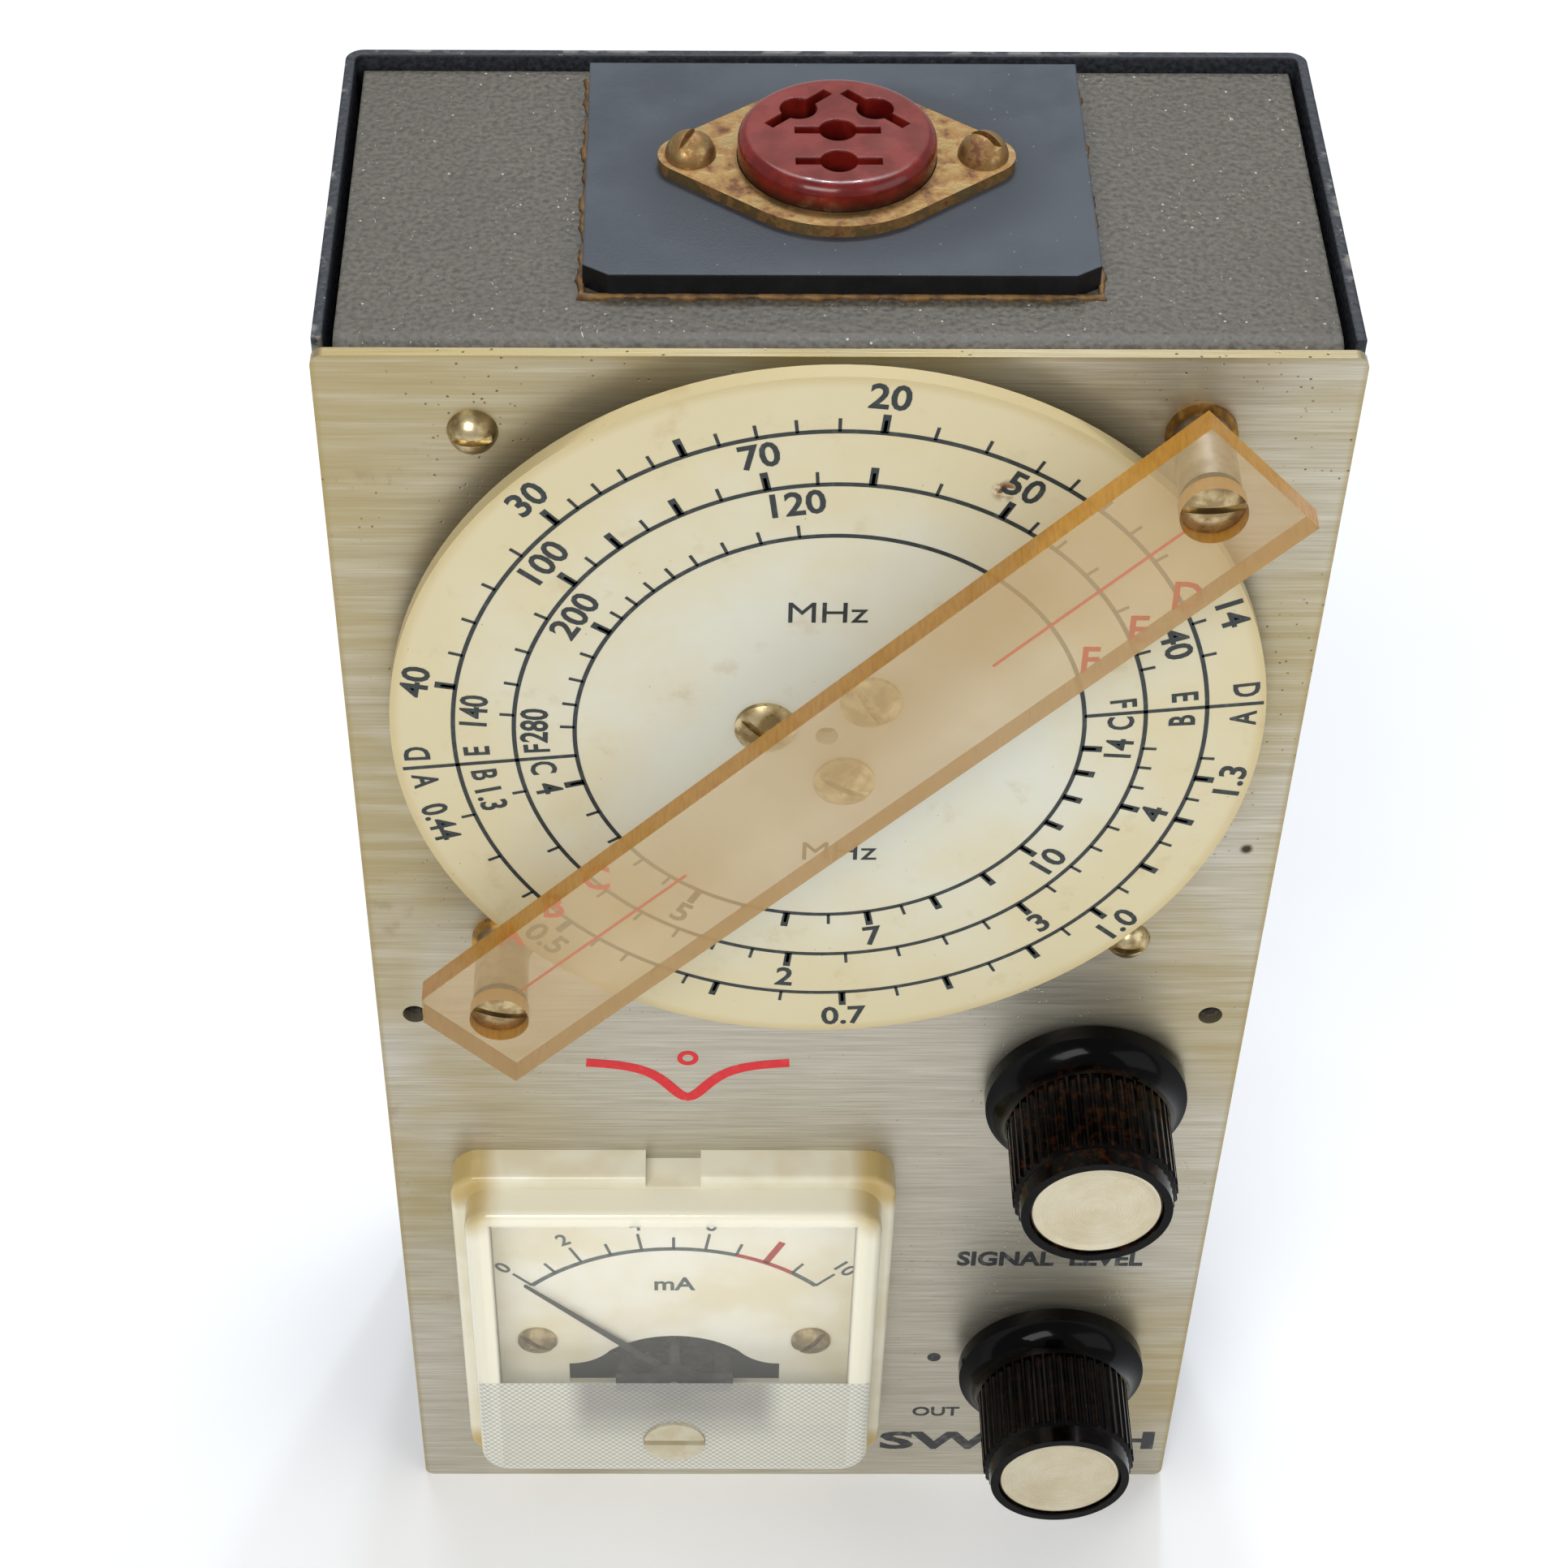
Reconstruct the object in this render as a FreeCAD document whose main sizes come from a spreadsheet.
import FreeCAD, Part
import math
import os
from types import SimpleNamespace

import Sketcher

# A hand-held transistor dip meter with a plug-in coil socket, standing on its bottom end.
# Frame: +Z up along the case, +X to the user's right, +Y to the back. Millimetres and degrees.
# The origin is the middle of the case's bottom end. The panel faces -Y, with its face at
# -case_depth/2. A "lift" is a height in front of the panel's face, so it is negative inside.

DIMENSIONS = {
    # case
    "case_width": 80.0,
    "case_height": 147.0,
    "case_depth": 42.0,
    "panel_thick": 1.0,
    "panel_corner": 1.0,
    "sheet_thick": 1.0,
    "cover_thick": 0.8,
    "cover_corner": 1.5,
    "rim_height": 0.7,
    "bend_radius": 3.0,
    "rear_bend_radius": 1.8,
    "lip_height": 10.0,
    "side_gap": 0.75,
    "cover_setback": 2.2,
    "spare_hole_x": 36.6,
    "spare_hole_z": 73.9,
    "spare_hole_radius": 1.1,
    "cover_screw_x": 28.0,
    "cover_screw_inset": 6.0,
    # fasteners
    "thread_radius": 1.4,
    "small_thread_radius": 1.1,
    "thread_gap": 0.05,
    "hole_gap": 0.2,
    "nut_radius": 2.9,
    "nut_thick": 2.0,
    "screw_head_radius": 2.0,
    "screw_head_height": 1.6,
    "slot_width": 0.6,
    "slot_depth": 0.7,
    "shaft_gap": 0.03,
    "press_gap": 0.05,
    "screw_overrun": 1.0,
    # dial and cursor
    "dial_z": 112.0,
    "corner_screw_offset": 28.0,
    "dial_radius": 36.0,
    "dial_thick": 1.5,
    "dial_lift": 3.8,
    "dial_turn": 6.1,
    "dial_start_angle": 45.0,
    "dial_eye_radius": 0.95,
    "dial_screw_ring": 5.2,
    "dial_screw_angle": 48.0,
    "dial_screw_radius": 2.55,
    "dial_screw_height": 1.3,
    "hub_radius": 8.0,
    "hub_flange_thick": 1.2,
    "hub_neck_radius": 5.0,
    "hub_length": 12.3,
    "hub_hole_radius": 6.0,
    "hub_screw_lift": -6.5,
    "shaft_radius": 3.0,
    "cursor_length": 89.0,
    "cursor_width": 13.0,
    "cursor_thick": 2.2,
    "cursor_lift": 10.0,
    "cursor_sink": 1.4,
    "cursor_head_radius": 2.5,
    "cursor_head_height": 0.8,
    "cursor_chip": 2.0,
    "post_radius": 2.4,
    "washer_radius": 2.8,
    "washer_thick": 0.8,
    # tuning capacitor, behind the dial
    "mount_plate_size": 62.0,
    "mount_plate_thick": 1.2,
    "pillar_length": 8.8,
    "pillar_radius": 2.0,
    "frame_depth": 23.2,
    "frame_half_width": 18.0,
    "frame_below": 19.7,
    "frame_above": 8.0,
    "frame_thick": 1.2,
    "bearing_radius": 5.0,
    "bearing_length": 3.6,
    "tail_radius": 2.0,
    "rotor_radius": 13.0,
    "sleeve_radius": 4.2,
    "plate_pitch": 2.0,
    "plate_thick": 0.6,
    "rotor_count": 8,
    "rotor_first_lift": -16.0,
    "stator_radius": 16.5,
    "stator_edge": 1.0,
    "stator_rod_x": 15.0,
    "stator_rod_drop": 3.0,
    "stator_rod_radius": 1.2,
    "insulator_ring_radius": 2.5,
    # meter
    "meter_x": -12.9,
    "meter_z": 31.8,
    "meter_width": 43.0,
    "meter_height": 45.6,
    "meter_flange": 3.6,
    "window_width": 40.2,
    "window_height": 42.6,
    "meter_lift": 7.1,
    "meter_wall": 1.3,
    "meter_corner": 3.0,
    "meter_edge": 1.0,
    "barrel_radius": 18.5,
    "barrel_depth": 17.0,
    "barrel_wall": 1.2,
    "stud_x": 16.0,
    "stud_z": 17.0,
    "pivot_drop": 8.7,
    "scale_lift": 3.0,
    "scale_thick": 0.5,
    "scale_screw_x": 13.9,
    "scale_screw_drop": 3.5,
    "magnet_front": -3.0,
    "magnet_depth": 10.0,
    "core_radius": 4.6,
    "gap_radius": 6.4,
    "yoke_radius": 8.3,
    "coil_inner": 5.0,
    "coil_outer": 5.9,
    "coil_overhang": 0.4,
    "coil_bar": 1.0,
    "staff_radius": 0.5,
    "needle_reach": 21.0,
    "needle_lift": 3.5,
    "needle_angle": 135.0,
    "adjuster_drop": 15.5,
    "adjuster_radius": 3.15,
    # knobs and what they turn
    "knob_x": 25.9,
    "sensitivity_z": 63.9,
    "mode_z": 22.8,
    "sensitivity_gap": 0.8,
    "mode_gap": 2.0,
    "skirt_radius": 9.45,
    "skirt_edge": 1.5,
    "grip_radius": 7.6,
    "grip_start": 4.2,
    "grip_end": 12.5,
    "collar_radius": 7.1,
    "collar_top_radius": 6.95,
    "knob_height": 14.6,
    "knob_hollow_radius": 7.0,
    "knob_hollow_depth": 3.0,
    "knob_bore_depth": 10.5,
    "cap_radius": 6.1,
    "cap_thick": 0.8,
    "cap_sink": 0.3,
    "flute_count": 44,
    "flute_radius": 0.45,
    "pot_radius": 8.5,
    "pot_depth": 9.0,
    "switch_radius": 11.5,
    "switch_depth": 6.0,
    "wafer_drop": 5.6,
    "bush_radius": 3.7,
    "bush_lift": 2.2,
    "bush_nut_radius": 5.6,
    "bush_nut_thick": 1.6,
    # coil socket on the top end
    "socket_x": 0.3,
    "socket_y": 2.25,
    "socket_radius": 7.9,
    "socket_shoulder": 9.2,
    "socket_rise": 3.2,
    "socket_below": 9.0,
    "socket_edge": 1.0,
    "insulator_x": 0.4,
    "insulator_width": 40.0,
    "insulator_depth": 29.5,
    "insulator_thick": 2.0,
    "insulator_chip_x": 2.0,
    "insulator_chip_y": 1.3,
    "saddle_thick": 1.0,
    "saddle_half_width": 9.8,
    "saddle_end_radius": 2.6,
    "saddle_screw_x": 11.6,
    "saddle_head_radius": 2.05,
    "saddle_head_height": 1.9,
    "pin_ring": 4.3,
    "pin_radius": 1.5,
    "pin_guide": 6.0,
    "contact_radius": 1.88,
    "contact_tail": 3.0,
    "wiper_length": 6.8,
    "wiper_width": 0.95,
    "wiper_depth": 3.2,
    "wire_radius": 0.5,
    # circuit board and battery
    "board_x": -9.5,
    "board_z": 69.0,
    "board_width": 49.0,
    "board_height": 24.0,
    "board_lift": -17.4,
    "board_thick": 1.6,
    "standoff_x": 21.5,
    "standoff_z": 8.5,
    "standoff_radius": 2.2,
    "battery_x": 0.0,
    "battery_y": 10.3,
    "battery_width": 26.5,
    "battery_thick": 17.5,
    "battery_height": 46.5,
    "battery_corner": 2.0,
    "terminal_radius": 2.9,
    "terminal_height": 2.0,
    "terminal_offset": 6.35,
    "clip_height": 4.0,
    "bracket_thick": 0.8,
    "bracket_width": 12.0,
    "bracket_height": 18.0,
}

QUARTER_TURN = 90.0

doc = FreeCAD.newDocument("dip_meter")
sheet = doc.addObject("Spreadsheet::Sheet", "Dims")
for row, (alias, value) in enumerate(DIMENSIONS.items(), start=1):
    sheet.set(f"A{row}", alias)
    sheet.set(f"B{row}", str(value))
    sheet.setAlias(f"B{row}", alias)
doc.recompute()


# ------------------------------------------------------------ sizes that follow the sheet

class Size:
    """A length or an angle that knows both its number and its formula on the sheet."""

    def __init__(self, number, formula=None):
        self.number = float(number)
        self.formula = formula or f"({self.number!r})"

    def __add__(self, other):
        other = as_size(other)
        return Size(self.number + other.number, f"({self.formula} + {other.formula})")

    def __sub__(self, other):
        other = as_size(other)
        return Size(self.number - other.number, f"({self.formula} - {other.formula})")

    def __mul__(self, other):
        other = as_size(other)
        return Size(self.number * other.number, f"({self.formula} * {other.formula})")

    def __truediv__(self, other):
        other = as_size(other)
        return Size(self.number / other.number, f"({self.formula} / {other.formula})")

    def __neg__(self):
        return Size(0) - self

    __radd__ = __add__
    __rmul__ = __mul__

    def __rsub__(self, other):
        return as_size(other) - self


def as_size(value):
    return value if isinstance(value, Size) else Size(value)


def root(value):
    return Size(math.sqrt(value.number), f"sqrt({value.formula})")


def cosine(angle):
    angle = as_size(angle)
    return Size(math.cos(math.radians(angle.number)), f"cos({angle.formula})")


def sine(angle):
    return cosine(angle - QUARTER_TURN)


def arc_radius(half_chord, rise):
    """The radius of an arc that rises by so much over half its chord."""
    return (half_chord * half_chord + rise * rise) / (as_size(rise) * 2)


size = SimpleNamespace(**{alias: Size(sheet.get(alias), f"Dims.{alias}") for alias in DIMENSIONS})


def bind(thing, prop, value):
    thing.setExpression(prop, as_size(value).formula)


# ------------------------------------------------------------ places

X_AXIS = FreeCAD.Vector(1, 0, 0)
Y_AXIS = FreeCAD.Vector(0, 1, 0)
Z_AXIS = FreeCAD.Vector(0, 0, 1)
UPRIGHT = FreeCAD.Rotation()
FACING_FRONT = FreeCAD.Rotation(X_AXIS, 90)
FACING_BACK = FreeCAD.Rotation(X_AXIS, -90)
LYING_ALONG_X = FreeCAD.Rotation(Y_AXIS, 90)


def standing(x, y, z):
    """A spot whose local axes are the object's own."""
    return x, y, z, UPRIGHT


def on_panel(x, z, lift=0):
    """A spot whose local X is right, Y is up the panel and Z is out of it."""
    return x, -size.case_depth / 2 - lift, z, FACING_FRONT


def behind(x, z, lift):
    """A spot at the same place whose local Z points to the back of the case."""
    return x, -size.case_depth / 2 - lift, z, FACING_BACK


def spun(spot, angle):
    """The same spot with its local X and Y turned about its local Z."""
    x, y, z, rotation = spot
    return x, y, z, rotation * FreeCAD.Rotation(Z_AXIS, as_size(angle).number)


def place(thing, spot):
    *position, rotation = spot
    thing.Placement = FreeCAD.Placement(FreeCAD.Vector(), rotation)
    for axis, value in zip("xyz", position):
        bind(thing, f"Placement.Base.{axis}", value)


HERE = standing(0, 0, 0)


# ------------------------------------------------------------ sketched outlines

def hold(sketch, kind, *members, value):
    """Adds one dimension to a sketch and ties it to the sheet."""
    value = as_size(value)
    index = sketch.addConstraint(Sketcher.Constraint(kind, *members, value.number))
    bind(sketch, f"Constraints[{index}]", value)


def circle(x, y, radius):
    def draw(sketch):
        middle = FreeCAD.Vector(as_size(x).number, as_size(y).number)
        ring = sketch.addGeometry(Part.Circle(middle, Z_AXIS, as_size(radius).number), False)
        hold(sketch, "DistanceX", -1, 1, ring, 3, value=x)
        hold(sketch, "DistanceY", -1, 1, ring, 3, value=y)
        hold(sketch, "Radius", ring, value=radius)
    return draw


def arc_between(start, end, bend):
    """The short arc from start to end: a positive bend turns left, a negative one right."""
    chord = end - start
    rise = math.sqrt(max(bend * bend - (chord.Length / 2) ** 2, 0))
    left = FreeCAD.Vector(-chord.y, chord.x) / chord.Length
    centre = (start + end) / 2 + left * math.copysign(rise, bend)
    first, last = (start, end) if bend > 0 else (end, start)
    angles = [math.atan2(point.y - centre.y, point.x - centre.x) for point in (first, last)]
    return Part.ArcOfCircle(Part.Circle(centre, Z_AXIS, abs(bend)), *angles)


def outline(*corners, closed=True):
    """A run of edges through (x, y) corners. A third value bends the edge that leaves a corner."""
    def draw(sketch):
        points = [FreeCAD.Vector(as_size(corner[0]).number, as_size(corner[1]).number) for corner in corners]
        edges = []
        for index, corner in enumerate(corners if closed else corners[:-1]):
            start, end = points[index], points[(index + 1) % len(points)]
            if len(corner) == 2:
                edge = sketch.addGeometry(Part.LineSegment(start, end), False)
                edges.append((edge, 1, 2))
                continue
            bend = as_size(corner[2])
            edge = sketch.addGeometry(arc_between(start, end, bend.number), False)
            edges.append((edge, 1, 2) if bend.number > 0 else (edge, 2, 1))
            hold(sketch, "Radius", edge, value=bend if bend.number > 0 else -bend)
        following = edges[1:] + edges[:1] if closed else edges[1:]
        for (edge, _, tail), (after, head, _) in zip(edges, following):
            sketch.addConstraint(Sketcher.Constraint("Coincident", edge, tail, after, head))
        for (edge, head, _), corner in zip(edges, corners):
            hold(sketch, "DistanceX", -1, 1, edge, head, value=corner[0])
            hold(sketch, "DistanceY", -1, 1, edge, head, value=corner[1])
        if not closed:
            edge, _, tail = edges[-1]
            hold(sketch, "DistanceX", -1, 1, edge, tail, value=corners[-1][0])
            hold(sketch, "DistanceY", -1, 1, edge, tail, value=corners[-1][1])
    return draw


def rectangle(left, low, right, high):
    return outline((left, low), (right, low), (right, high), (left, high))


def centred(width, height):
    return rectangle(-width / 2, -height / 2, width / 2, height / 2)


def turned_bar(x, y, length, width, angle):
    """A rectangle about (x, y) with its length turned by an angle."""
    along = (cosine(angle) * length / 2, sine(angle) * length / 2)
    across = (-sine(angle) * width / 2, cosine(angle) * width / 2)
    signs = [(-1, -1), (1, -1), (1, 1), (-1, 1)]
    return outline(*[(x + along[0] * u + across[0] * v, y + along[1] * u + across[1] * v) for u, v in signs])


# ------------------------------------------------------------ plain solids

def cylinder(radius, height, spot):
    solid = doc.addObject("Part::Cylinder", "cylinder")
    bind(solid, "Radius", radius)
    bind(solid, "Height", height)
    place(solid, spot)
    return solid


def free_sketch(shapes, rotation=UPRIGHT):
    sketch = doc.addObject("Sketcher::SketchObject", "outline")
    for shape in shapes:
        shape(sketch)
    sketch.Placement = FreeCAD.Placement(FreeCAD.Vector(), rotation)
    return sketch


def prism(shapes, height, spot):
    """Outlines and the holes in them, pulled out along the spot's local Z."""
    solid = doc.addObject("Part::Extrusion", "prism")
    solid.Base = free_sketch(shapes)
    solid.DirMode = "Custom"
    solid.Dir = Z_AXIS
    bind(solid, "LengthFwd", height)
    solid.Solid = True
    place(solid, spot)
    return solid


def turned(spot, *corners):
    """A solid of revolution about the spot's local Z, from (radius, height) corners."""
    solid = doc.addObject("Part::Revolution", "turned")
    solid.Source = free_sketch([outline(*corners)], FACING_FRONT)
    solid.Axis = Z_AXIS
    solid.Angle = 360
    solid.Solid = True
    place(solid, spot)
    return solid


def tube(outer, inner, height, spot):
    return turned(spot, (inner, 0), (outer, 0), (outer, height), (inner, height))


def gathered(pieces):
    compound = doc.addObject("Part::Compound", "group")
    compound.Links = pieces
    return compound


def cut(base, tools, spot=HERE):
    solid = doc.addObject("Part::Cut", "cut")
    solid.Base = base
    solid.Tool = gathered(tools)
    place(solid, spot)
    return solid


def fused(pieces, spot=HERE):
    solid = doc.addObject("Part::MultiFuse", "fused")
    solid.Shapes = pieces
    place(solid, spot)
    return solid


def hex_nut(spot, circumradius, bore, thickness):
    blank = doc.addObject("Part::Prism", "hexagon")
    blank.Polygon = 6
    bind(blank, "Circumradius", circumradius)
    bind(blank, "Height", thickness)
    return cut(blank, [cylinder(bore, thickness, HERE)], spot)


def slotted_screw(spot, head_radius, head_height, thread_radius, length, side=0.0):
    """A screw with a domed, slotted head that sits at the spot and a plain shank below it."""
    dome = arc_radius(head_radius, head_height - side)
    rim = [(head_radius, 0), (head_radius, side, dome)] if side else [(head_radius, 0, dome)]
    blank = turned(HERE, (0, -length), (thread_radius, -length), (thread_radius, 0), *rim, (0, head_height))
    slot = prism([centred(head_radius * 2.2, size.slot_width)], size.slot_depth,
                 standing(0, 0, head_height - size.slot_depth))
    return cut(blank, [slot], spot)


# ------------------------------------------------------------ bodies made of features

class Body:
    """A PartDesign body with short names for the features used here."""

    def __init__(self, spot):
        self.body = doc.addObject("PartDesign::Body", "body")
        place(self.body, spot)

    def sketch(self, shapes, level, plane):
        sketch = self.body.newObject("Sketcher::SketchObject", "sketch")
        planes = {item.Role: item for item in self.body.Origin.OriginFeatures}
        sketch.AttachmentSupport = [(planes[plane], "")]
        sketch.MapMode = "FlatFace"
        bind(sketch, "AttachmentOffset.Base.z", level)
        for shape in shapes:
            shape(sketch)
        return sketch

    def pad(self, shapes, level, height, plane="XY_Plane"):
        feature = self.body.newObject("PartDesign::Pad", "pad")
        feature.Profile = self.sketch(shapes, level, plane)
        bind(feature, "Length", height)
        return feature

    def pocket(self, shapes, level, depth, plane="XY_Plane"):
        """Cuts from a level down against the plane's normal, and makes sure that it cut."""
        doc.recompute()
        before = self.body.Shape.Volume
        feature = self.body.newObject("PartDesign::Pocket", "pocket")
        feature.Profile = self.sketch(shapes, level, plane)
        bind(feature, "Length", depth)
        doc.recompute()
        if self.body.Shape.Volume >= before:
            raise RuntimeError("a pocket cut nothing")
        return feature

    def revolution(self, *corners):
        """Turns (radius, height) corners about the body's Z."""
        feature = self.body.newObject("PartDesign::Revolution", "revolution")
        profile = self.sketch([outline(*corners)], 0, "XZ_Plane")
        feature.Profile = profile
        feature.ReferenceAxis = (profile, ["V_Axis"])
        feature.Angle = 360
        return feature

    def ring_of(self, feature, count):
        pattern = self.body.newObject("PartDesign::PolarPattern", "ring")
        pattern.Originals = [feature]
        pattern.Axis = (feature.Profile[0], ["N_Axis"])
        pattern.Angle = 360
        bind(pattern, "Occurrences", count)
        self.body.Tip = pattern
        return pattern

    def rounded(self, radius, chosen):
        """Rounds the edges that the test picks."""
        doc.recompute()
        base = self.body.Tip
        names = [f"Edge{index}" for index, edge in enumerate(base.Shape.Edges, start=1) if chosen(edge)]
        feature = self.body.newObject("PartDesign::Fillet", "rounding")
        feature.Base = (base, names)
        bind(feature, "Radius", radius)
        return feature


def runs_along(edge, axis):
    return isinstance(edge.Curve, Part.Line) and abs(edge.Curve.Direction.dot(axis)) > 0.999


def lies_at(edge, height):
    box = edge.BoundBox
    return abs(box.ZMin - height.number) < 0.01 and abs(box.ZMax - height.number) < 0.01


sub_parts = {}


def sub_part(label, thing):
    """Names one finished piece. Its label is the name of its file."""
    solid = thing.body if isinstance(thing, Body) else thing
    solid.Label = label
    sub_parts[label] = solid
    return solid


# ------------------------------------------------------------ levels that several pieces share

half_width = size.case_width / 2
front_face = -size.case_depth / 2
back_face = size.case_depth / 2
flange_back = -(size.panel_thick + size.sheet_thick)
plate_back = flange_back - size.mount_plate_thick
frame_front = plate_back - size.pillar_length
frame_back = frame_front - size.frame_depth
chassis_top = size.case_height - size.rim_height
insulator_top = chassis_top + size.insulator_thick
saddle_top = insulator_top + size.saddle_thick
socket_top = insulator_top + size.socket_rise
dial_back = size.dial_lift - size.dial_thick
cursor_under = size.cursor_lift - size.cursor_thick
thread_hole = size.thread_radius + size.hole_gap
small_hole = size.small_thread_radius + size.hole_gap
pin_spots = [(0, 0, 0)] + [(size.pin_ring * cosine(turn), size.pin_ring * sine(turn), turn + QUARTER_TURN)
                           for turn in (-90, 45, 135)]
CORNERS = [(-1, -1), (1, -1), (1, 1), (-1, 1)]


def corner_spots(corners):
    """The places of the fasteners at the corners of the dial's square."""
    return [(size.corner_screw_offset * u, size.dial_z + size.corner_screw_offset * v) for u, v in corners]


def cover_screw_spots():
    heights = (size.cover_screw_inset, size.case_height - size.cover_screw_inset)
    return [(size.cover_screw_x * side, z) for side in (-1, 1) for z in heights]


def saddle_screw_spots():
    """Across the socket, from its middle."""
    return [size.saddle_screw_x * side for side in (-1, 1)]


def stud_spots():
    return [(size.meter_x + size.stud_x * u, size.meter_z + size.stud_z * v) for u, v in CORNERS]


def panel_holes():
    """The holes that the panel and the flange behind it share."""
    holes = [circle(0, size.dial_z, size.hub_hole_radius)]
    holes += [circle(x, z, thread_hole) for x, z in corner_spots(CORNERS) + stud_spots()]
    holes += [circle(size.meter_x, size.meter_z, size.barrel_radius + size.hole_gap)]
    holes += [circle(size.knob_x, z, size.bush_radius + size.hole_gap)
              for z in (size.sensitivity_z, size.mode_z)]
    holes += [circle(size.spare_hole_x * side, size.spare_hole_z, size.spare_hole_radius)
              for side in (-1, 1)]
    return holes


# ------------------------------------------------------------ case

def make_front_panel():
    body = Body(on_panel(0, 0))
    sheet_outline = rectangle(-half_width, 0, half_width, size.case_height)
    body.pad([sheet_outline] + panel_holes(), -size.panel_thick, size.panel_thick)
    body.rounded(size.panel_corner, lambda edge: runs_along(edge, Z_AXIS))
    sub_part("front_panel", body)


def chassis_end(level, way):
    """One end of the case, bent from the front flange to a short rear lip. way points to the middle."""
    front, rear = -size.panel_thick, -(size.case_depth - size.cover_thick)
    thick = size.sheet_thick
    bend, inner_bend = size.bend_radius, size.bend_radius - thick
    turn, inner_turn = size.rear_bend_radius, size.rear_bend_radius - thick
    outer, inner, lip = level, level + thick * way, level + size.lip_height * way
    section = outline(
        (lip, rear),
        (level + turn * way, rear, -turn * way),
        (outer, rear + turn),
        (outer, front - bend, -bend * way),
        (level + bend * way, front),
        (level + bend * way, front - thick, inner_bend * way),
        (inner, front - bend),
        (inner, rear + turn, inner_turn * way),
        (level + turn * way, rear + thick),
        (lip, rear + thick),
    )
    end = Body(on_panel(0, 0))
    end_x = half_width - size.cover_thick - size.side_gap
    end.pad([section], -end_x, end_x * 2, "YZ_Plane")
    low_spots, high_spots = cover_screw_spots()[::2], cover_screw_spots()[1::2]
    lip_holes = [circle(x, z, small_hole) for x, z in (low_spots if way > 0 else high_spots)]
    end.pocket(lip_holes, rear + thick, thick)
    return end


def make_chassis():
    """One bent strip of steel, as three pieces that meet where the flat flange ends."""
    front, thick, bend = -size.panel_thick, size.sheet_thick, size.bend_radius
    flange = Body(on_panel(0, 0))
    flange.pad([rectangle(-half_width, bend, half_width, chassis_top - bend)] + panel_holes(),
               front - thick, thick)
    sub_part("chassis_front", flange)
    sub_part("chassis_bottom", chassis_end(as_size(0), 1))
    top = chassis_end(chassis_top, -1)
    socket_lift = front_face - size.socket_y
    holes = [circle(size.socket_x, socket_lift, size.socket_radius + size.hole_gap)]
    holes += [circle(size.socket_x + x, socket_lift, thread_hole) for x in saddle_screw_spots()]
    top.pocket(holes, -(chassis_top - thick), thick, "XZ_Plane")
    sub_part("chassis_top", top)


def make_rear_cover():
    """The two sides and the back, one sheet bent to a U."""
    body = Body(HERE)
    open_end = front_face + size.cover_setback
    thick, bend = size.cover_thick, size.cover_corner
    inner_bend = bend - thick
    section = outline(
        (-half_width, open_end),
        (-half_width, back_face - bend, -bend),
        (-half_width + bend, back_face),
        (half_width - bend, back_face, -bend),
        (half_width, back_face - bend),
        (half_width, open_end),
        (half_width - thick, open_end),
        (half_width - thick, back_face - bend, inner_bend),
        (half_width - bend, back_face - thick),
        (-half_width + bend, back_face - thick, inner_bend),
        (-half_width + thick, back_face - bend),
        (-half_width + thick, open_end),
    )
    body.pad([section], 0, size.case_height)
    holes = [circle(x, z, small_hole) for x, z in cover_screw_spots()]
    body.pocket(holes, -(back_face - thick), thick, "XZ_Plane")
    sub_part("rear_cover", body)


def make_case_screws():
    length = 4.5
    sub_part("cover_screws", gathered([
        slotted_screw((x, back_face, z, FACING_BACK), size.screw_head_radius, size.screw_head_height,
                      size.small_thread_radius, length)
        for x, z in cover_screw_spots()]))
    through = -plate_back + size.nut_thick + size.screw_overrun
    screw_corners = corner_spots([(-1, 1), (1, -1)])
    sub_part("panel_screws", gathered([
        slotted_screw(on_panel(x, z), size.screw_head_radius, size.screw_head_height,
                      size.thread_radius, through)
        for x, z in screw_corners]))


def make_nuts():
    """The nuts of the corner screws, the meter's studs, the saddle's screws and the two bushes."""
    spots = [behind(x, z, plate_back) for x, z in corner_spots(CORNERS)]
    spots += [behind(x, z, flange_back) for x, z in stud_spots()]
    saddle_level = chassis_top - size.sheet_thick - size.nut_thick
    spots += [standing(size.socket_x + x, size.socket_y, saddle_level) for x in saddle_screw_spots()]
    bore = size.thread_radius + size.thread_gap
    nuts = [hex_nut(spot, size.nut_radius, bore, size.nut_thick) for spot in spots]
    bush_bore = size.bush_radius + size.thread_gap
    nuts += [hex_nut(on_panel(size.knob_x, z), size.bush_nut_radius, bush_bore, size.bush_nut_thick)
             for z in (size.sensitivity_z, size.mode_z)]
    sub_part("hex_nuts", gathered(nuts))


# ------------------------------------------------------------ dial and cursor

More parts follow.
